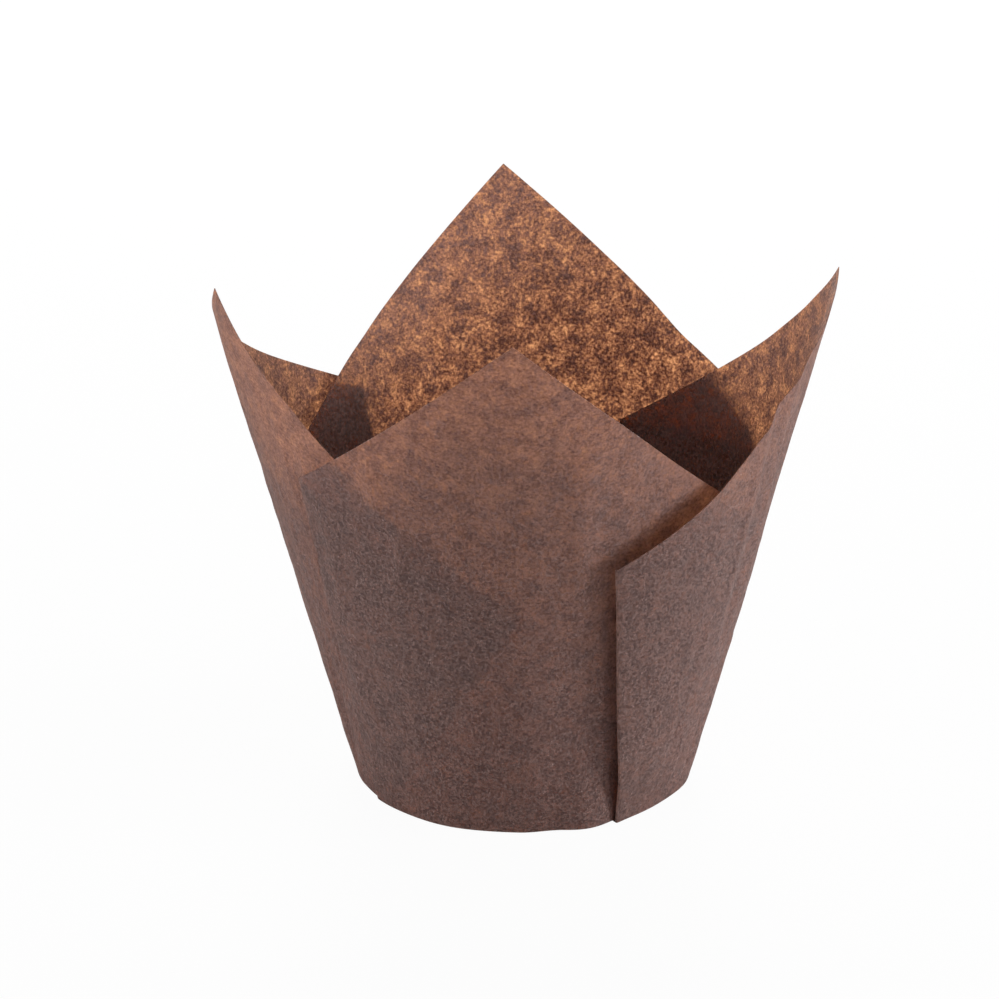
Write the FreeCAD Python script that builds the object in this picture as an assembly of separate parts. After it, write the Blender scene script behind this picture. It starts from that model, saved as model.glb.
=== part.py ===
import FreeCAD, Part
import cmath
import math
import os

# A tulip-shaped baking cup, folded from one square sheet of thin brown paper.
#
# The middle of the sheet is the flat round floor. Each quarter of the sheet rises from the floor
# as a petal, with a corner of the sheet at its tip. The spare paper between two petals is laid over
# in one flat pleat of three layers. All four pleats turn the same way round, so each petal starts
# outside the petal before it and ends inside the petal after it.
#
# The frame: the origin is the middle of the floor's underside, +Z is up and the front petal faces -Y.
# Sizes are in millimetres. Angles are in degrees, and azimuths run from the front (-Y) towards +X.

# The sheet and the way it is formed
sheet_side = 150.0
paper_thickness = 0.1
floor_diameter = 50.0
wall_lean = 13.3           # the wall leans out from upright by this much
mouth_spread = 3.1         # at tip height the mouth is wider than round by this, and as much narrower in depth
curl_start = 45.0          # distance up the wall at which the petals begin to bend
curl_length = 43.0         # distance over which a petal bends by its own tip_bend

# The pleats
layer_step = 0.4           # from the middle of one layer of a pleat to the middle of the next
pleat_foot = 3.0           # width of each pleat where it leaves the floor

# The four petals, in the order in which they lie over each other.
# azimuth is the petal's tip, and turn is how far its corner of the sheet is turned about that tip.
# reach is how much further up its tip comes than on a sheet that is exactly centred.
# fold_azimuth is where the outer fold at the petal's start leaves the floor, and fold_from_tip is
# how far from the tip that fold cuts the edge of the sheet.
# flare is how far the overlapping edge stands off the petal beneath it.
front = dict(azimuth=-2.0, turn=-1.0, reach=4.0, tip_bend=13.0,
             fold_azimuth=-58.0, fold_from_tip=48.0, flare=0.5)
right = dict(azimuth=90.0, turn=-1.0, reach=-1.3, tip_bend=-4.5,
             fold_azimuth=32.0, fold_from_tip=58.0, flare=0.8)
back = dict(azimuth=183.6, turn=-2.2, reach=1.7, tip_bend=15.8,
            fold_azimuth=109.0, fold_from_tip=64.5, flare=0.5)
left = dict(azimuth=288.0, turn=-5.0, reach=0.5, tip_bend=-3.0,
            fold_azimuth=214.0, fold_from_tip=55.5, flare=0.5)
petals = [front, right, back, left]

# The paper is made of small flat facets, two to each cell between two columns and two rows
rows_up = 7                # rows of cells from the floor to the free edge
cells_half_petal = 12      # cells side by side across half a petal
cells_return = 6           # cells side by side across the middle layer of a pleat
cells_fold = 3             # cells round the outside of each fold

floor_radius = floor_diameter / 2
lean = math.radians(wall_lean)
# The wall unrolled flat is a sector about the point where its slope would meet the axis.
# A place on it is a complex number: its length is the distance from that point, and its angle is
# the azimuth times this rate.
unrolled_rate = math.sin(lean)
unrolled_floor = floor_radius / unrolled_rate
tip_distance = sheet_side / math.sqrt(2) - floor_radius
foot_angle = math.degrees(pleat_foot / floor_radius)


def unrolled(azimuth, up_the_wall):
    return cmath.rect(unrolled_floor + up_the_wall, math.radians(azimuth) * unrolled_rate)


def azimuth_of(place):
    return math.degrees(cmath.phase(place) / unrolled_rate)


def edge_place(petal, way, from_tip):
    # A place on the free edge of the sheet; way is -1 towards the petal's start and 1 towards its end
    half_corner = 45.0 + way * petal["turn"]
    tip = unrolled(petal["azimuth"], tip_distance + petal["reach"])
    heading = cmath.phase(tip) - way * math.radians(half_corner)
    return tip - cmath.rect(from_tip, heading)


def once_round(petal):
    # The same petal with its azimuths counted one turn further on
    moved = dict(petal)
    moved["azimuth"] += 360.0
    moved["fold_azimuth"] += 360.0
    return moved


def start_of(petal):
    return edge_place(petal, -1, petal["fold_from_tip"])


def inner_fold_from_tip(petal, following):
    # The side of the sheet runs from this tip to the inner fold, back to the outer fold and on to
    # the next tip. What is left of it after the outer fold's share gives the inner fold's place.
    outer_corner = start_of(following)
    tip = edge_place(petal, 1, 0.0)
    direction = edge_place(petal, 1, 1.0) - tip
    spare = sheet_side - following["fold_from_tip"]
    gap = tip - outer_corner
    along = (direction.conjugate() * gap).real
    return (spare ** 2 - abs(gap) ** 2) / (2 * (spare + along))


# Each pleat lies between a petal and the one that follows it
pleats = list(zip(petals, petals[1:] + [once_round(petals[0])]))


def blend(a, b, share):
    return a + (b - a) * share


def smooth_step(share):
    share = min(max(share, 0.0), 1.0)
    return share * share * (3 - 2 * share)


def bend_at(azimuth):
    total = 0.0
    for petal in petals:
        away = (azimuth - petal["azimuth"] + 180.0) % 360.0 - 180.0
        if abs(away) < 90.0:
            total += petal["tip_bend"] * math.cos(math.radians(away)) ** 2
    return math.radians(total)


def wall_point(place, outward):
    # From a place on the unrolled wall to the point in space, moved outward along the floor's plane
    azimuth = azimuth_of(place)
    around = math.radians(azimuth)
    up_the_wall = abs(place) - unrolled_floor
    straight = min(up_the_wall, curl_start)
    bent = up_the_wall - straight
    half_turn = bend_at(azimuth) * bent / curl_length / 2
    chord = bent if half_turn == 0 else bent * math.sin(half_turn) / half_turn
    radius = floor_radius + straight * math.sin(lean) + chord * math.sin(lean + half_turn)
    height = straight * math.cos(lean) + chord * math.cos(lean + half_turn)
    radius -= mouth_spread * up_the_wall / tip_distance * math.cos(2 * around)
    radius += outward
    return FreeCAD.Vector(radius * math.sin(around), -radius * math.cos(around), height)


def tangent_at(place):
    around = math.radians(azimuth_of(place))
    return FreeCAD.Vector(math.cos(around), math.sin(around), 0)


def shares(steps):
    whole = round(steps)
    return [step / whole for step in range(whole + 1)]


def facet(a, b, c):
    return Part.Face(Part.makePolygon([a, b, c, a]))


def facets_between(columns):
    facets = []
    for first, second in zip(columns, columns[1:]):
        for row in range(len(first) - 1):
            facets.append(facet(first[row], second[row], second[row + 1]))
            facets.append(facet(first[row], second[row + 1], first[row + 1]))
    return facets


def sheet_column(foot_azimuth, top, side, outward):
    # Places up the wall from its foot to the free edge. side is 1 for the outside face of
    # the paper and -1 for the inside face, which starts on top of the floor.
    foot_height = 0.0 if side > 0 else paper_thickness / math.cos(lean)
    foot = unrolled(foot_azimuth, foot_height)
    column = []
    for share in shares(rows_up):
        column.append((blend(foot, top, share), outward(share)))
    return column


def layer_of(petal, azimuth):
    # 1 where the petal is the outermost layer, -1 where it is the innermost
    share = (azimuth - petal["free_start"]) / (petal["free_end"] - petal["free_start"])
    return 1 - 2 * smooth_step(share)


def flare_of(petal, azimuth, share_up):
    # The overlapping edge stands off most half way between its fold and the end of the overlap
    share = (azimuth - azimuth_of(petal["start"])) / (petal["free_start"] - azimuth_of(petal["start"]))
    if share <= 0 or share >= 1:
        return 0.0
    return petal["flare"] * math.sin(math.pi * share) ** 2 * share_up ** 2


def petal_half(petal, way, side):
    # The half petal from the outer fold to the tip (way -1), or from the tip to the inner fold (way 1)
    columns = []
    for share in shares(cells_half_petal):
        if way < 0:
            foot_azimuth = blend(petal["fold_azimuth"], petal["azimuth"], share)
            top = edge_place(petal, -1, petal["fold_from_tip"] * (1 - share))
        else:
            foot_azimuth = blend(petal["azimuth"], petal["end_azimuth"], share)
            top = edge_place(petal, 1, petal["end_from_tip"] * share)
        azimuth = azimuth_of(top)
        level = layer_step * layer_of(petal, azimuth) + side * paper_thickness / 2

        def outward(share_up, level=level, azimuth=azimuth):
            return level + flare_of(petal, azimuth, share_up)

        column = sheet_column(foot_azimuth, top, side, outward)
        columns.append([wall_point(place, out) for place, out in column])
    return columns


def return_layer(petal, following, side):
    # The middle layer of a pleat runs back from the inner fold to the outer fold, and its faces
    # are the other way round
    columns = []
    for share in shares(cells_return):
        foot_azimuth = blend(petal["end_azimuth"], following["fold_azimuth"], share)
        top = blend(petal["end"], start_of(following), share)
        level = -side * paper_thickness / 2
        column = sheet_column(foot_azimuth, top, side, lambda share_up: level)
        columns.append([wall_point(place, out) for place, out in column])
    return columns


def fold_turn(before, after, places, way):
    # The columns round a fold, between the last column of one layer and the first of the next.
    # way is 1 at an inner fold, which points on around the cup, and -1 at an outer fold.
    columns = []
    for share in shares(cells_fold)[1:-1]:
        column = []
        for first, last, place in zip(before, after, places):
            across = last - first
            reach = way * math.sin(math.pi * share) * across.Length / 2
            column.append(first + across * ((1 - math.cos(math.pi * share)) / 2) + tangent_at(place) * reach)
        columns.append(column)
    return columns


def fold_places(foot_azimuth, top, side):
    return [place for place, out in sheet_column(foot_azimuth, top, side, lambda share_up: 0.0)]


def set_out_petals():
    # Work out where each petal ends, and between which azimuths it is the only layer of the wall
    for petal, following in pleats:
        petal["start"] = start_of(petal)
        petal["end_from_tip"] = inner_fold_from_tip(petal, following)
        petal["end"] = edge_place(petal, 1, petal["end_from_tip"])
        petal["end_azimuth"] = following["fold_azimuth"] + foot_angle
        petal["free_end"] = azimuth_of(start_of(following))
    for index, petal in enumerate(petals):
        free_start = azimuth_of(petals[index - 1]["end"])
        petal["free_start"] = free_start if index > 0 else free_start - 360.0


def sheet_columns(side):
    # One face of the paper as columns of points, once around the cup and back to the first
    first_halves = [petal_half(petal, -1, side) for petal in petals]
    columns = []
    for index, (petal, following) in enumerate(pleats):
        middle = return_layer(petal, following, side)
        inner_places = fold_places(petal["end_azimuth"], petal["end"], side)
        outer_places = fold_places(following["fold_azimuth"], start_of(following), side)
        next_half = first_halves[(index + 1) % len(petals)]
        columns += first_halves[index]
        columns += petal_half(petal, 1, side)[1:]
        columns += fold_turn(columns[-1], middle[0], inner_places, 1)
        columns += middle
        columns += fold_turn(middle[-1], next_half[0], outer_places, -1)
    return columns + columns[:1]


def level_face(columns):
    # The flat face bounded by the lower ends of all columns
    return Part.Face(Part.makePolygon([column[0] for column in columns]))


def folded_liner():
    set_out_petals()
    outside = sheet_columns(1)
    inside = sheet_columns(-1)
    cut_edge = [[outer[-1], inner[-1]] for outer, inner in zip(outside, inside)]
    faces = facets_between(outside) + facets_between(inside) + facets_between(cut_edge)
    faces.append(level_face(outside))
    faces.append(level_face(inside))
    shell = Part.makeShell(faces)
    shell.sewShape()
    solid = Part.makeSolid(shell.Shells[0] if shell.Shells else shell)
    if solid.Volume < 0:
        solid.reverse()
    return solid


os.makedirs("parts", exist_ok=True)
liner = folded_liner()
liner.exportStep("parts/folded_liner.step")
box = liner.BoundBox
print("folded_liner", "valid", liner.isValid(), "solids", len(liner.Solids), "faces", len(liner.Faces))
print("volume mm3 %.1f, size mm %.1f x %.1f x %.1f" % (liner.Volume, box.XLength, box.YLength, box.ZLength))
for petal in petals:
    print("petal at %.1f: inner fold %.1f from the tip, free from %.1f to %.1f" % (
        petal["azimuth"], petal["end_from_tip"], petal["free_start"], petal["free_end"]))
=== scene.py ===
import cmath
import math

import bpy
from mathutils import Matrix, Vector, noise


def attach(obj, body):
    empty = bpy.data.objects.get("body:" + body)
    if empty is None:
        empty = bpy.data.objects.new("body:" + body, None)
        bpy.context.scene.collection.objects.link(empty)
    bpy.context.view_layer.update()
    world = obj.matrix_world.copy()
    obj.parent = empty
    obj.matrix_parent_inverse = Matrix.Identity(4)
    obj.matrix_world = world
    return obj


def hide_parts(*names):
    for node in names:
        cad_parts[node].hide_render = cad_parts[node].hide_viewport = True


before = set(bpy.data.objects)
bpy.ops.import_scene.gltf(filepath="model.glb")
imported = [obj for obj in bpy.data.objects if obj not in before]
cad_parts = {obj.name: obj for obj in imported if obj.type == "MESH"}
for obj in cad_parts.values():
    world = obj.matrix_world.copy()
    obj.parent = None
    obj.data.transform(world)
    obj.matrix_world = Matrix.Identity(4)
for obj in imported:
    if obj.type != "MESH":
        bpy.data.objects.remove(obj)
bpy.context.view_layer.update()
bpy.ops.object.select_all(action='DESELECT')
print("frame loaded:", sorted(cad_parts))

mm = 0.001

# the folded sheet, in millimetres and degrees; azimuths run from the front petal towards the right one
liner = {
    "sheetSide": 150.0,
    "paperThickness": 0.1,
    "floorRadius": 25.0,
    "wallLean": 13.3,
    "mouthSpread": 3.1,
    "curlStart": 45.0,
    "curlLength": 43.0,
    "layerStep": 0.4,          # from one layer of a pleat to the next
    "pleatFoot": 3.0,
    # tip and fold are azimuths, and foldFromTip is where the outer fold cuts the sheet's edge;
    # flare, foldLift and tuck are how far the paper stands off, and footPress is how much of the
    # space between the layers is left at the floor
    "petals": [
        {"tip": -2.0, "turn": -1.0, "reach": 4.0, "tipBend": 13.0, "fold": -58.0, "foldFromTip": 48.0,
         "flare": 0.4, "footPress": 0.20, "foldLift": 0.12, "tuck": 1.7},
        {"tip": 90.0, "turn": -1.0, "reach": -1.3, "tipBend": -4.5, "fold": 32.0, "foldFromTip": 58.0,
         "flare": 0.2, "footPress": 0.95, "foldLift": 1.15, "tuck": 0.3},
        {"tip": 183.6, "turn": -2.2, "reach": 1.7, "tipBend": 15.8, "fold": 109.0, "foldFromTip": 64.5,
         "flare": 0.5, "footPress": 0.35, "foldLift": 0.2, "tuck": 0.7},
        {"tip": 288.0, "turn": -5.0, "reach": 0.5, "tipBend": -3.0, "fold": 214.0, "foldFromTip": 55.5,
         "flare": 0.5, "footPress": 0.35, "foldLift": 0.2, "tuck": 0.2},
    ],
    "tuckLead": 6.0,           # how far before the next petal's edge the tuck begins
    "tuckSkew": 0.7,           # below 1 the tuck is deepest near where it begins
    "pressSpread": 30.0,       # how far round from a fold its footPress is felt
    "pressFades": 20.0,        # height at which the layers are fully apart
    "footFades": 10.0,         # height at which the floor's layers end and a fold is fully lifted
    "floorLayer": 0.12,        # from one layer to the next where they lie on the floor
    "floorMiddle": 0.22,       # height of the floor's middle
    "floorEvens": 0.45,        # share of the floor's radius over which its columns even out
    "floorSettles": 0.6,       # share of the floor's radius over which its layers end
    "columnsHalfPetal": 50,
    "columnsReturn": 16,
    "columnsTurn": 5,
    "rowsWall": 76,
    "floorRings": [0.0, 0.2, 0.4, 0.6, 0.76, 0.9, 0.97],   # radii, as shares of the floor's own
    "mergeDistance": 0.002,
    "smoothAngle": 50.0,
}

lean = math.radians(liner["wallLean"])
unrolledRate = math.sin(lean)
unrolledFloor = liner["floorRadius"] / unrolledRate
tipDistance = liner["sheetSide"] / math.sqrt(2) - liner["floorRadius"]
petals = liner["petals"]


def unrolled(azimuth, up):
    # a place on the wall rolled out flat, as a complex number
    return cmath.rect(unrolledFloor + up, math.radians(azimuth) * unrolledRate)


def azimuthOf(place):
    return math.degrees(cmath.phase(place) / unrolledRate)


def edgePlace(petal, way, fromTip):
    # a place on the sheet's edge; way is -1 before the petal's tip and 1 after it
    tip = unrolled(petal["tip"], tipDistance + petal["reach"])
    heading = cmath.phase(tip) - way * math.radians(45.0 + way * petal["turn"])
    return tip - cmath.rect(fromTip, heading)


def startOf(petal):
    return edgePlace(petal, -1, petal["foldFromTip"])


def innerFoldFromTip(petal, following):
    # what the outer fold leaves of the sheet's side reaches from the tip to the inner fold and back
    tip = edgePlace(petal, 1, 0.0)
    direction = edgePlace(petal, 1, 1.0) - tip
    spare = liner["sheetSide"] - following["foldFromTip"]
    gap = tip - startOf(following)
    along = (direction.conjugate() * gap).real
    return (spare ** 2 - abs(gap) ** 2) / (2 * (spare + along))


def onceRound(petal):
    return dict(petal, tip=petal["tip"] + 360.0, fold=petal["fold"] + 360.0)


def blend(a, b, share):
    return a + (b - a) * share


def smoothStep(share):
    share = min(max(share, 0.0), 1.0)
    return share * share * (3 - 2 * share)


def degreesFrom(middle, azimuth):
    # the shorter way round, from -180 to 180
    return (azimuth - middle + 180.0) % 360.0 - 180.0


def bendAt(azimuth):
    total = 0.0
    for petal in petals:
        away = degreesFrom(petal["tip"], azimuth)
        if abs(away) < 90.0:
            total += petal["tipBend"] * math.cos(math.radians(away)) ** 2
    return math.radians(total)


# how the paper has been handled, in millimetres and degrees
handling = {
    # waves in the paper: their width, height and depth, and the place in the noise that they come from
    "waves": {
        "broad": {"wide": 24.0, "tall": 24.0, "depth": 0.25, "seed": 3.0},
        "upright": {"wide": 1.9, "tall": 34.0, "depth": 0.65, "seed": 40.0},
        "fine": {"wide": 3.2, "tall": 3.2, "depth": 0.05, "seed": 80.0},
        "rim": {"wide": 7.0, "tall": 7.0, "depth": 0.22, "seed": 120.0},
        "base": {"wide": 15.0, "tall": 15.0, "depth": 0.25, "seed": 160.0},
        "floor": {"wide": 9.0, "tall": 9.0, "depth": 0.12, "seed": 200.0},
    },
    "wavesRadius": 33.0,       # the cup's usual radius, at which the waves have their width
    "wavesStart": 7.0,         # height at which the waves have their full depth
    "uprightLevel": 0.4,       # where the upright noise is stronger than this, the wall is pulled in
    "uprightEnds": 9.0,        # how far from the rim the upright wrinkles begin to fade
    "uprightElsewhere": 0.2,   # share of the upright wrinkles that is everywhere
    "rimFades": 9.0,
    "baseFades": 14.0,
    # where the upright wrinkles are strongest, as (middle, spread)
    "sideWrinkles": [(76.0, 26.0), (-76.0, 26.0)],
    # places where the paper has been pushed in or pulled out
    "pushes": [
        {"azimuth": 62.0, "up": 66.0, "across": 24.0, "tall": 15.0, "out": -1.4},
        {"azimuth": 90.0, "up": 32.0, "across": 20.0, "tall": 22.0, "out": -0.9},
        {"azimuth": 86.0, "up": 79.0, "across": 14.0, "tall": 12.0, "out": 0.6},
        {"azimuth": 112.0, "up": 76.0, "across": 12.0, "tall": 9.0, "out": -0.8},
        {"azimuth": 142.0, "up": 59.0, "across": 9.0, "tall": 7.0, "out": -1.1},
        {"azimuth": -72.0, "up": 75.0, "across": 12.0, "tall": 9.0, "out": 0.5},
        {"azimuth": -84.0, "up": 30.0, "across": 26.0, "tall": 45.0, "out": -0.6},
        {"azimuth": -54.0, "up": 0.0, "across": 10.0, "tall": 8.0, "out": 0.2},
        {"azimuth": -24.0, "up": 0.0, "across": 14.0, "tall": 10.0, "out": 0.5},
        {"azimuth": 21.0, "up": 0.0, "across": 11.0, "tall": 10.0, "out": 1.5},
        {"azimuth": 56.0, "up": 0.0, "across": 14.0, "tall": 12.0, "out": -0.5},
    ],
    "creaseReach": 3.0,        # how many of its widths a crease is felt over
    # each crease runs through places given as (azimuth, distance up the wall)
    "creases": [
        {"path": [(-34.5, 60.0), (-33.5, 54.0), (-29.5, 51.0), (-29.0, 46.5), (-31.5, 41.0)],
         "wide": 1.2, "depth": 0.42},
        {"path": [(14.0, 64.0), (12.5, 54.5), (15.0, 38.0)], "wide": 2.4, "depth": 0.45},
        {"path": [(-8.0, 70.0), (-12.0, 58.0), (-9.0, 50.0)], "wide": 2.0, "depth": -0.35},
        {"path": [(-49.0, 50.0), (-50.5, 30.0), (-49.5, 16.0)], "wide": 1.3, "depth": 0.32},
        {"path": [(-63.0, 54.0), (-64.0, 34.0), (-63.0, 18.0)], "wide": 1.2, "depth": 0.35},
        {"path": [(-68.0, 62.0), (-69.0, 40.0), (-68.0, 20.0)], "wide": 1.2, "depth": -0.35},
        {"path": [(61.0, 62.0), (60.0, 48.0), (58.0, 34.0)], "wide": 1.3, "depth": 0.35},
        {"path": [(66.0, 66.0), (65.0, 50.0), (64.0, 28.0)], "wide": 1.2, "depth": -0.42},
        {"path": [(71.0, 68.0), (70.0, 50.0), (69.0, 32.0)], "wide": 1.2, "depth": 0.35},
        {"path": [(76.0, 70.0), (75.0, 52.0), (74.0, 26.0)], "wide": 1.2, "depth": -0.2},
        {"path": [(196.0, 66.0), (203.0, 58.0), (200.0, 48.0)], "wide": 1.6, "depth": 0.4},
        {"path": [(174.0, 70.0), (170.0, 60.0)], "wide": 1.4, "depth": -0.3},
    ],
}


def roundNoise(kind, azimuth, up):
    # noise that meets itself once round the cup
    wave = handling["waves"][kind]
    around = math.radians(azimuth)
    radius = handling["wavesRadius"] / wave["wide"]
    return noise.noise(Vector((radius * math.cos(around) + wave["seed"],
                               radius * math.sin(around), up / wave["tall"])))


def waveDepth(kind):
    return handling["waves"][kind]["depth"]


def distanceFromLine(azimuth, up, first, second):
    # how far a place on the wall is from a crease's straight piece
    scale = math.radians(1.0) * (liner["floorRadius"] + up * unrolledRate)
    ax, ay = (azimuth - first[0]) * scale, up - first[1]
    bx, by = (second[0] - first[0]) * scale, second[1] - first[1]
    share = min(max((ax * bx + ay * by) / (bx * bx + by * by), 0.0), 1.0)
    return math.hypot(ax - bx * share, ay - by * share)


def creaseRelief(azimuth, up):
    total = 0.0
    for crease in handling["creases"]:
        pieces = zip(crease["path"], crease["path"][1:])
        nearest = min(distanceFromLine(azimuth, up, first, second) for first, second in pieces)
        if nearest < handling["creaseReach"] * crease["wide"]:
            reach = nearest / crease["wide"]
            total += crease["depth"] * math.exp(-reach * reach)
    return total


def relief(azimuth, up, toRim=math.inf):
    # how far the paper stands out from its plain folded shape, the same for all layers
    side = handling["uprightElsewhere"]
    for middle, spread in handling["sideWrinkles"]:
        away = degreesFrom(middle, azimuth) / spread
        side += math.exp(-away * away)
    ridge = handling["uprightLevel"] - abs(roundNoise("upright", azimuth, up))
    rim = math.exp(-(toRim / handling["rimFades"]) ** 2)
    out = waveDepth("broad") * roundNoise("broad", azimuth, up)
    out += side * waveDepth("upright") * ridge * smoothStep(toRim / handling["uprightEnds"])
    out += waveDepth("fine") * roundNoise("fine", azimuth, up)
    out += creaseRelief(azimuth, up)
    out += rim * waveDepth("rim") * roundNoise("rim", azimuth, up)
    out *= smoothStep(up / handling["wavesStart"])
    for push in handling["pushes"]:
        across = degreesFrom(push["azimuth"], azimuth) / push["across"]
        tall = (up - push["up"]) / push["tall"]
        out += push["out"] * math.exp(-across * across - tall * tall)
    base = 1 - smoothStep(up / handling["baseFades"])
    out += base * waveDepth("base") * roundNoise("base", azimuth, 0.0)
    return out


def wallPoint(place, outward, along, rise):
    # fold a place on the flat sheet up into the wall, which curls above curlStart
    azimuth = azimuthOf(place)
    around = math.radians(azimuth)
    up = abs(place) - unrolledFloor
    straight = min(up, liner["curlStart"])
    bent = up - straight
    halfTurn = bendAt(azimuth) * bent / liner["curlLength"] / 2
    chord = bent if halfTurn == 0 else bent * math.sin(halfTurn) / halfTurn
    radius = liner["floorRadius"] + straight * math.sin(lean) + chord * math.sin(lean + halfTurn)
    height = straight * math.cos(lean) + chord * math.cos(lean + halfTurn)
    radius -= liner["mouthSpread"] * up / tipDistance * math.cos(2 * around)
    radius += outward
    x = radius * math.sin(around) + along * math.cos(around)
    y = -radius * math.cos(around) + along * math.sin(around)
    return Vector((x, y, height + rise)) * mm


# set out the petals, each with its end tucked behind the start of the next
pairs = list(zip(petals, petals[1:] + [onceRound(petals[0])]))
footAngle = math.degrees(liner["pleatFoot"] / liner["floorRadius"])
for petal, following in pairs:
    petal["start"] = startOf(petal)
    petal["endFromTip"] = innerFoldFromTip(petal, following)
    petal["end"] = edgePlace(petal, 1, petal["endFromTip"])
    petal["endFoot"] = following["fold"] + footAngle
    petal["freeEnd"] = azimuthOf(startOf(following))
for index, petal in enumerate(petals):
    freeStart = azimuthOf(petals[index - 1]["end"])
    petal["freeStart"] = freeStart if index > 0 else freeStart - 360.0


def petalLevel(petal, top):
    # outermost where the petal starts and innermost where it ends
    share = (azimuthOf(top) - petal["freeStart"]) / (petal["freeEnd"] - petal["freeStart"])
    return liner["layerStep"] * (1 - 2 * smoothStep(share))


def makeColumn(foot, top, level=0.0, along=0.0, stand=0.0, lift=0.0):
    # a column of the sheet, from its foot's azimuth on the floor to its top place on the sheet's edge
    return {"foot": foot, "top": top, "level": level, "along": along, "stand": stand, "lift": lift}


def startColumns(petal):
    # from the outer fold to the tip
    half = liner["columnsHalfPetal"]
    foldAzimuth = azimuthOf(petal["start"])
    columns = []
    for number in range(half):
        share = number / half
        foot = blend(petal["fold"], petal["tip"], share)
        top = edgePlace(petal, -1, petal["foldFromTip"] * (1 - share))
        near = (azimuthOf(top) - foldAzimuth) / (petal["freeStart"] - foldAzimuth)
        flare = petal["flare"] * math.sin(math.pi * near) ** 2 if 0 < near < 1 else 0.0
        lift = petal["foldLift"] * (1 - smoothStep(near))
        columns.append(makeColumn(foot, top, petalLevel(petal, top), stand=flare, lift=lift))
    return columns


def endColumns(petal):
    # from the tip to the inner fold, tucked in where the next petal hides them
    half = liner["columnsHalfPetal"]
    tuckStart = petal["freeEnd"] - liner["tuckLead"]
    tuckEnd = azimuthOf(petal["end"])
    columns = []
    for number in range(half + 1):
        share = number / half
        foot = blend(petal["tip"], petal["endFoot"], share)
        top = edgePlace(petal, 1, petal["endFromTip"] * share)
        hidden = (azimuthOf(top) - tuckStart) / (tuckEnd - tuckStart)
        tuck = 0.0
        if 0 < hidden < 1:
            tuck = petal["tuck"] * math.sin(math.pi * hidden ** liner["tuckSkew"]) ** 2
        columns.append(makeColumn(foot, top, petalLevel(petal, top), stand=-tuck))
    return columns


def turnColumns(foot, top, fromLevel, side, lift):
    # round a fold, from one layer of a pleat out to the next
    radius = liner["layerStep"] / 2
    columns = []
    for number in range(1, liner["columnsTurn"]):
        turned = math.pi * number / liner["columnsTurn"]
        level = fromLevel + radius * (1 - math.cos(turned))
        columns.append(makeColumn(foot, top, level, side * radius * math.sin(turned), lift=lift))
    return columns


def returnColumns(petal, following):
    # the middle layer of a pleat, back from the inner fold to the outer one
    columns = []
    for number in range(liner["columnsReturn"] + 1):
        share = number / liner["columnsReturn"]
        foot = blend(petal["endFoot"], following["fold"], share)
        top = blend(petal["end"], startOf(following), share)
        columns.append(makeColumn(foot, top, lift=following["foldLift"] * smoothStep(share)))
    return columns


def columnsAround():
    # every column in order, once round the cup and back to the first
    step = liner["layerStep"]
    columns = []
    for petal, following in pairs:
        columns += startColumns(petal) + endColumns(petal)
        columns += turnColumns(petal["endFoot"], petal["end"], -step, 1, 0.0)
        columns += returnColumns(petal, following)
        columns += turnColumns(following["fold"], startOf(following), 0.0, -1, following["foldLift"])
    first = columns[0]
    columns.append(dict(first, foot=first["foot"] + 360.0, top=startOf(pairs[-1][1])))
    return columns


def floorLift(level):
    # inside the cup the inner layers of a pleat lie on the outer ones
    return liner["paperThickness"] / 2 + liner["floorLayer"] * (1 - level / liner["layerStep"])


def footPressAt(azimuth):
    # how much of the space between layers is left at the floor, mostly by the nearest pleat
    total = 0.0
    weights = 0.0
    for petal in petals:
        away = degreesFrom(petal["fold"], azimuth) / liner["pressSpread"]
        weight = math.exp(-away * away)
        total += petal["footPress"] * weight
        weights += weight
    return total / weights


def wallVertex(column, share):
    footPlace = unrolled(column["foot"], 0.0)
    place = blend(footPlace, column["top"], share)
    up = abs(place) - unrolledFloor
    toRim = (1 - share) * abs(column["top"] - footPlace)
    # the layers of a pleat are pressed together where they leave the floor
    press = blend(footPressAt(column["foot"]), 1.0, smoothStep(up / liner["pressFades"]))
    clear = smoothStep(up / liner["footFades"])
    outward = column["level"] * press + column["stand"] * share * share + column["lift"] * clear
    outward += relief(azimuthOf(place), up, toRim)
    return wallPoint(place, outward, column["along"] * press, floorLift(column["level"]) * (1 - clear))


def floorVertex(column, evenAzimuth, ring):
    inward = 1 - ring
    press = footPressAt(column["foot"])
    ownAzimuth = column["foot"] + math.degrees(column["along"] * press / liner["floorRadius"])
    azimuth = blend(ownAzimuth, evenAzimuth, smoothStep(inward / liner["floorEvens"]))
    around = math.radians(azimuth)
    radius = ring * (liner["floorRadius"] + column["level"] * press + relief(azimuth, 0.0))
    settled = smoothStep(inward / liner["floorSettles"])
    height = blend(floorLift(column["level"]), liner["floorMiddle"], settled)
    unevenness = roundNoise("floor", azimuth, ring * liner["floorRadius"])
    height += waveDepth("floor") * ring * unevenness * inward
    return Vector((radius * math.sin(around), -radius * math.cos(around), height)) * mm


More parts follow.
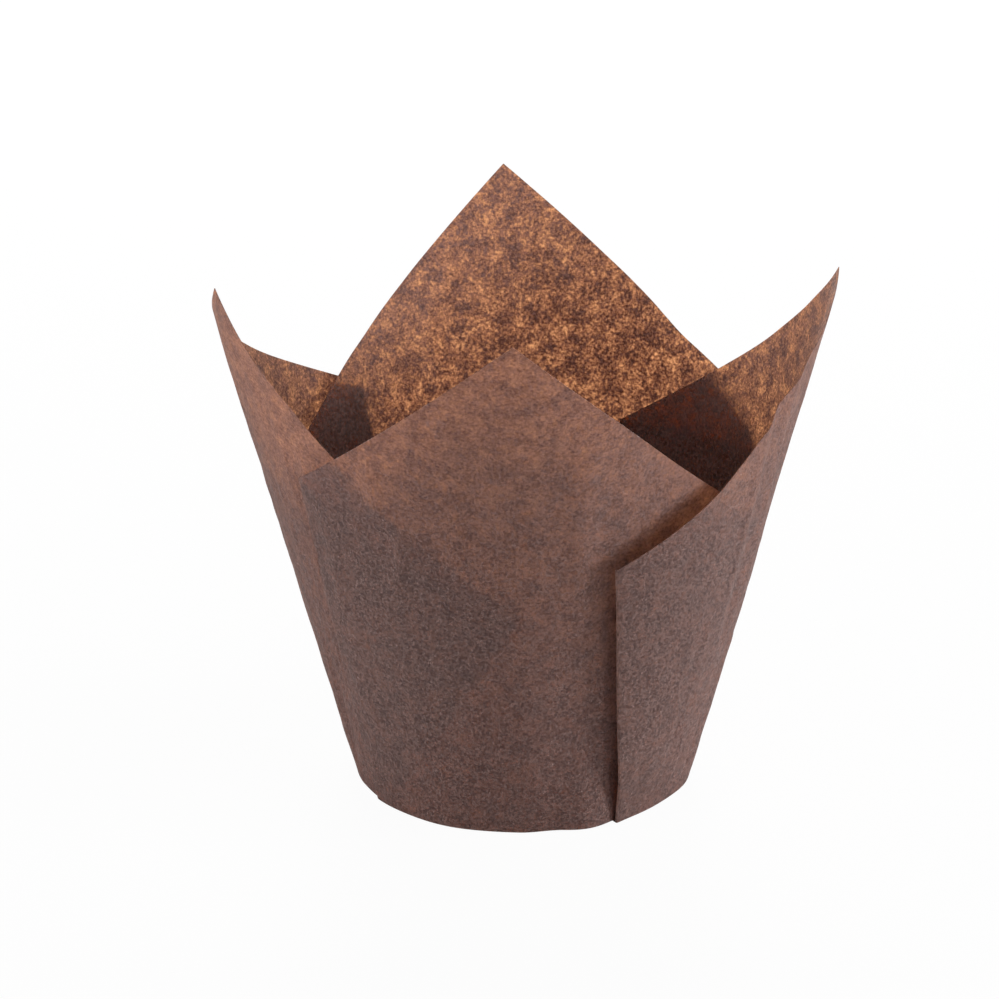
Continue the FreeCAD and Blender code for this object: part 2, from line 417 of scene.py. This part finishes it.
columns = columnsAround()
rings = liner["floorRings"]
columnCount = len(columns) - 1
rowCount = len(rings) + liner["rowsWall"]
bpy.ops.mesh.primitive_grid_add(x_subdivisions=columnCount, y_subdivisions=rowCount, size=1.0)
sheet = bpy.context.active_object
sheet.name = "folded_sheet"
for vertex in sheet.data.vertices:
    columnNumber = round((vertex.co.x + 0.5) * columnCount)
    rowNumber = round((vertex.co.y + 0.5) * rowCount)
    column = columns[columnNumber]
    if rowNumber < len(rings):
        evenAzimuth = columns[0]["foot"] + 360.0 * columnNumber / columnCount
        vertex.co = floorVertex(column, evenAzimuth, rings[rowNumber])
    else:
        vertex.co = wallVertex(column, (rowNumber - len(rings)) / liner["rowsWall"])
bpy.ops.object.mode_set(mode='EDIT')
bpy.ops.mesh.select_all(action='SELECT')
bpy.ops.mesh.remove_doubles(threshold=liner["mergeDistance"] * mm)
bpy.ops.mesh.select_all(action='DESELECT')
bpy.ops.object.mode_set(mode='OBJECT')
thickness = sheet.modifiers.new("paper", 'SOLIDIFY')
thickness.thickness = liner["paperThickness"] * mm
thickness.offset = 0.0
bpy.ops.object.modifier_apply(modifier=thickness.name)
bpy.ops.object.shade_smooth_by_angle(angle=math.radians(liner["smoothAngle"]))
triangles = sum(len(face.vertices) - 2 for face in sheet.data.polygons)
print("folded sheet:", len(sheet.data.vertices), "vertices,", triangles, "triangles")


# the paper: brown greaseproof, dull outside and glowing amber where light comes through it
paper = {
    "faceColor": (0.295, 0.187, 0.168, 1.0),
    "faceDark": (0.115, 0.069, 0.063, 1.0),
    "thinColor": (1.0, 0.73, 0.48, 1.0),
    "thickColor": (0.70, 0.32, 0.21, 1.0),
    "roughness": 0.62,
    "specular": 0.3,
    "sheenWeight": 0.05,
    # how much light comes through, between the thinness that counts as thick and as thin
    "leastThrough": 0.10,
    "mostThrough": 0.95,
    "throughSpan": (0.41, 0.70),
    "colorSpan": (0.38, 0.66),
    "cloudShare": 0.5,         # how strongly the thin spots gather in clouds
    "evenOutside": 0.65,       # how far the smooth outside hides the thin spots
    "evenLevel": 0.5,          # what the thinness is evened towards
    "cupMiddle": (0.0, 0.0, 0.04),   # what faces away from this place is the outside, in metres
    # how the face is mottled
    "fibreMottle": 1.0,
    "cloudMottle": 0.45,
    "mottleSpan": (0.59, 0.85),
    "textures": {
        "specks": {"Scale": 2300.0, "Detail": 5.0, "Roughness": 0.72},
        "clouds": {"Scale": 420.0, "Detail": 6.0, "Roughness": 0.65},
        "fibres": {"Scale": 2500.0, "Detail": 2.0},
        "crinkles": {"Scale": 300.0, "Detail": 3.0, "Distortion": 0.6},
    },
    "grain": {"Strength": 0.5, "Distance": 0.00008},
    "crinkle": {"Strength": 0.6, "Distance": 0.00026},
}


def addNode(tree, kind, inputs=None, **values):
    node = tree.nodes.new(kind)
    for name, value in values.items():
        setattr(node, name, value)
    for socket, value in (inputs or {}).items():
        node.inputs[socket].default_value = value
    return node


def addRange(tree, source, span, least=0.0, most=1.0):
    limits = {"From Min": span[0], "From Max": span[1], "To Min": least, "To Max": most}
    ranged = addNode(tree, "ShaderNodeMapRange", limits)
    tree.links.new(source, ranged.inputs["Value"])
    return ranged.outputs["Result"]


def addColorMix(tree, share, first, second):
    mix = addNode(tree, "ShaderNodeMix", {6: first, 7: second}, data_type='RGBA')
    tree.links.new(share, mix.inputs[0])
    return mix.outputs[2]


def paperTextures(tree, place):
    textures = {}
    for name, settings in paper["textures"].items():
        texture = addNode(tree, "ShaderNodeTexNoise", settings)
        tree.links.new(place, texture.inputs["Vector"])
        textures[name] = texture.outputs["Fac"]
    return textures


def outsideOfCup(tree, place):
    # 1 on faces that look away from the cup's middle, 0 on the others
    geometry = addNode(tree, "ShaderNodeNewGeometry")
    fromMiddle = addNode(tree, "ShaderNodeVectorMath", {1: paper["cupMiddle"]}, operation='SUBTRACT')
    tree.links.new(place, fromMiddle.inputs[0])
    facing = addNode(tree, "ShaderNodeVectorMath", operation='DOT_PRODUCT')
    tree.links.new(geometry.outputs["Normal"], facing.inputs[0])
    tree.links.new(fromMiddle.outputs["Vector"], facing.inputs[1])
    outside = addNode(tree, "ShaderNodeMath", {1: 0.0}, operation='GREATER_THAN')
    tree.links.new(facing.outputs["Value"], outside.inputs[0])
    return outside.outputs[0]


def thinSpots(tree, place, textures):
    # thin spots gather in clouds
    share = paper["cloudShare"]
    cloudShift = addNode(tree, "ShaderNodeMath", {1: share, 2: -share / 2}, operation='MULTIPLY_ADD')
    tree.links.new(textures["clouds"], cloudShift.inputs[0])
    thinness = addNode(tree, "ShaderNodeMath", operation='ADD')
    tree.links.new(textures["specks"], thinness.inputs[0])
    tree.links.new(cloudShift.outputs[0], thinness.inputs[1])

    # they show on the inside; the outside, and light on its way through the sheet, is more even
    path = addNode(tree, "ShaderNodeLightPath")
    hidden = addNode(tree, "ShaderNodeMath", operation='MAXIMUM')
    tree.links.new(outsideOfCup(tree, place), hidden.inputs[0])
    tree.links.new(path.outputs["Is Transmission Ray"], hidden.inputs[1])
    evenness = addNode(tree, "ShaderNodeMath", {1: paper["evenOutside"]}, operation='MULTIPLY')
    tree.links.new(hidden.outputs[0], evenness.inputs[0])
    evened = addNode(tree, "ShaderNodeMix", {3: paper["evenLevel"]}, data_type='FLOAT')
    tree.links.new(evenness.outputs[0], evened.inputs[0])
    tree.links.new(thinness.outputs[0], evened.inputs[2])
    return evened.outputs[0]


def paperBumps(tree, textures):
    grain = addNode(tree, "ShaderNodeBump", paper["grain"])
    tree.links.new(textures["fibres"], grain.inputs["Height"])
    crinkled = addNode(tree, "ShaderNodeBump", paper["crinkle"])
    tree.links.new(textures["crinkles"], crinkled.inputs["Height"])
    tree.links.new(grain.outputs["Normal"], crinkled.inputs["Normal"])
    return crinkled.outputs["Normal"]


def faceShader(tree, textures):
    # the face is mottled by the same clouds and by its own fibres
    cloudPart = addNode(tree, "ShaderNodeMath", {1: paper["cloudMottle"]}, operation='MULTIPLY')
    tree.links.new(textures["clouds"], cloudPart.inputs[0])
    mottle = addNode(tree, "ShaderNodeMath", {1: paper["fibreMottle"]}, operation='MULTIPLY_ADD')
    tree.links.new(textures["fibres"], mottle.inputs[0])
    tree.links.new(cloudPart.outputs[0], mottle.inputs[2])
    shade = addRange(tree, mottle.outputs[0], paper["mottleSpan"])
    face = addNode(tree, "ShaderNodeBsdfPrincipled")
    face.inputs["Roughness"].default_value = paper["roughness"]
    face.inputs["Specular IOR Level"].default_value = paper["specular"]
    face.inputs["Sheen Weight"].default_value = paper["sheenWeight"]
    faceColor = addColorMix(tree, shade, paper["faceDark"], paper["faceColor"])
    tree.links.new(faceColor, face.inputs["Base Color"])
    tree.links.new(paperBumps(tree, textures), face.inputs["Normal"])
    return face.outputs["BSDF"]


def glowShader(tree, thinness):
    thinShare = addRange(tree, thinness, paper["colorSpan"])
    glow = addNode(tree, "ShaderNodeBsdfTranslucent")
    glowColor = addColorMix(tree, thinShare, paper["thickColor"], paper["thinColor"])
    tree.links.new(glowColor, glow.inputs["Color"])
    return glow.outputs["BSDF"]


def paperMaterial():
    material = bpy.data.materials.new("brownPaper")
    material.use_nodes = True
    tree = material.node_tree
    tree.nodes.clear()
    place = addNode(tree, "ShaderNodeTexCoord").outputs["Object"]
    textures = paperTextures(tree, place)
    thinness = thinSpots(tree, place, textures)
    through = addRange(tree, thinness, paper["throughSpan"], paper["leastThrough"], paper["mostThrough"])
    both = addNode(tree, "ShaderNodeMixShader")
    tree.links.new(through, both.inputs["Fac"])
    tree.links.new(faceShader(tree, textures), both.inputs[1])
    tree.links.new(glowShader(tree, thinness), both.inputs[2])
    output = addNode(tree, "ShaderNodeOutputMaterial")
    tree.links.new(both.outputs[0], output.inputs["Surface"])
    return material


sheet.data.materials.clear()
sheet.data.materials.append(paperMaterial())
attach(sheet, "root")
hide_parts("folded_liner")
print("paper material made")


# the table and the background
studio = {
    "tableSize": 6.0,
    "tableColor": (0.86, 0.86, 0.86, 1.0),
    "tableRoughness": 0.9,
    "whiteToCamera": 0.96,     # how much of the table is plain white to the camera
    "worldColor": (1.0, 1.0, 1.0, 1.0),
    "worldStrength": 0.03,     # what the background lights the paper with
    "worldSeen": 1.0,          # how bright it is to the camera and in reflections
    "lampAim": (0.0, 0.0, 0.04),
}


def tableMaterial():
    material = bpy.data.materials.new("paleTable")
    material.use_nodes = True
    tree = material.node_tree
    surface = tree.nodes["Principled BSDF"]
    surface.inputs["Base Color"].default_value = studio["tableColor"]
    surface.inputs["Roughness"].default_value = studio["tableRoughness"]
    white = addNode(tree, "ShaderNodeEmission")
    seen = addNode(tree, "ShaderNodeLightPath")
    amount = addNode(tree, "ShaderNodeMath", {1: studio["whiteToCamera"]}, operation='MULTIPLY')
    tree.links.new(seen.outputs["Is Camera Ray"], amount.inputs[0])
    both = addNode(tree, "ShaderNodeMixShader")
    tree.links.new(amount.outputs[0], both.inputs["Fac"])
    tree.links.new(surface.outputs["BSDF"], both.inputs[1])
    tree.links.new(white.outputs[0], both.inputs[2])
    tree.links.new(both.outputs[0], tree.nodes["Material Output"].inputs["Surface"])
    return material


def softWorld():
    world = bpy.data.worlds.new("softWorld")
    world.use_nodes = True
    tree = world.node_tree
    background = tree.nodes["Background"]
    background.inputs["Color"].default_value = studio["worldColor"]
    seen = addNode(tree, "ShaderNodeLightPath")
    anySeen = addNode(tree, "ShaderNodeMath", operation='MAXIMUM')
    tree.links.new(seen.outputs["Is Camera Ray"], anySeen.inputs[0])
    tree.links.new(seen.outputs["Is Glossy Ray"], anySeen.inputs[1])
    strength = addRange(tree, anySeen.outputs[0], (0.0, 1.0), studio["worldStrength"], studio["worldSeen"])
    tree.links.new(strength, background.inputs["Strength"])
    return world


bpy.ops.mesh.primitive_plane_add(size=studio["tableSize"])
table = bpy.context.active_object
table.name = "table_top"
table.data.materials.append(tableMaterial())
bpy.context.scene.world = softWorld()


# soft square lamps, all aimed at the cup: place and size in metres, power in watts
lamps = {
    "lampBehind": {"place": (0.0, 0.90, 0.30), "size": 0.75, "power": 7.0},
    "lampBehindLow": {"place": (0.0, 0.90, 0.13), "size": 0.24, "power": 7.4},
    "lampLeft": {"place": (-0.79, 0.08, 0.09), "size": 0.25, "power": 1.8},
    "lampFrontLeft": {"place": (-0.62, -0.50, 0.10), "size": 0.25, "power": 2.4},
    "lampRight": {"place": (0.80, -0.05, 0.09), "size": 0.25, "power": 5.6},
    "lampFrontRight": {"place": (0.68, -0.42, 0.10), "size": 0.3, "power": 1.0},
    "lampAbove": {"place": (0.25, -0.22, 0.85), "size": 0.5, "power": 1.9},
}
for name, lamp in lamps.items():
    bpy.ops.object.light_add(type='AREA', location=lamp["place"])
    light = bpy.context.active_object
    light.name = name
    light.data.size = lamp["size"]
    light.data.energy = lamp["power"]
    aim = Vector(studio["lampAim"]) - light.location
    light.rotation_euler = aim.to_track_quat('-Z', 'Y').to_euler()

# the camera stands where the photograph was taken from: degrees down, metres, and millimetres of lens
camera = {"down": 20.99, "distance": 0.8185, "lookAt": (-0.00343, 0.0, 0.04196), "lens": 201.5}
down = math.radians(camera["down"])
eye = Vector(camera["lookAt"]) - camera["distance"] * Vector((0.0, math.cos(down), -math.sin(down)))
bpy.ops.object.camera_add(location=eye, rotation=(math.radians(90.0) - down, 0.0, 0.0))
bpy.context.active_object.data.lens = camera["lens"]
bpy.context.scene.camera = bpy.context.active_object
bpy.context.scene.view_settings.view_transform = 'Standard'
print("studio, lamps and camera set")
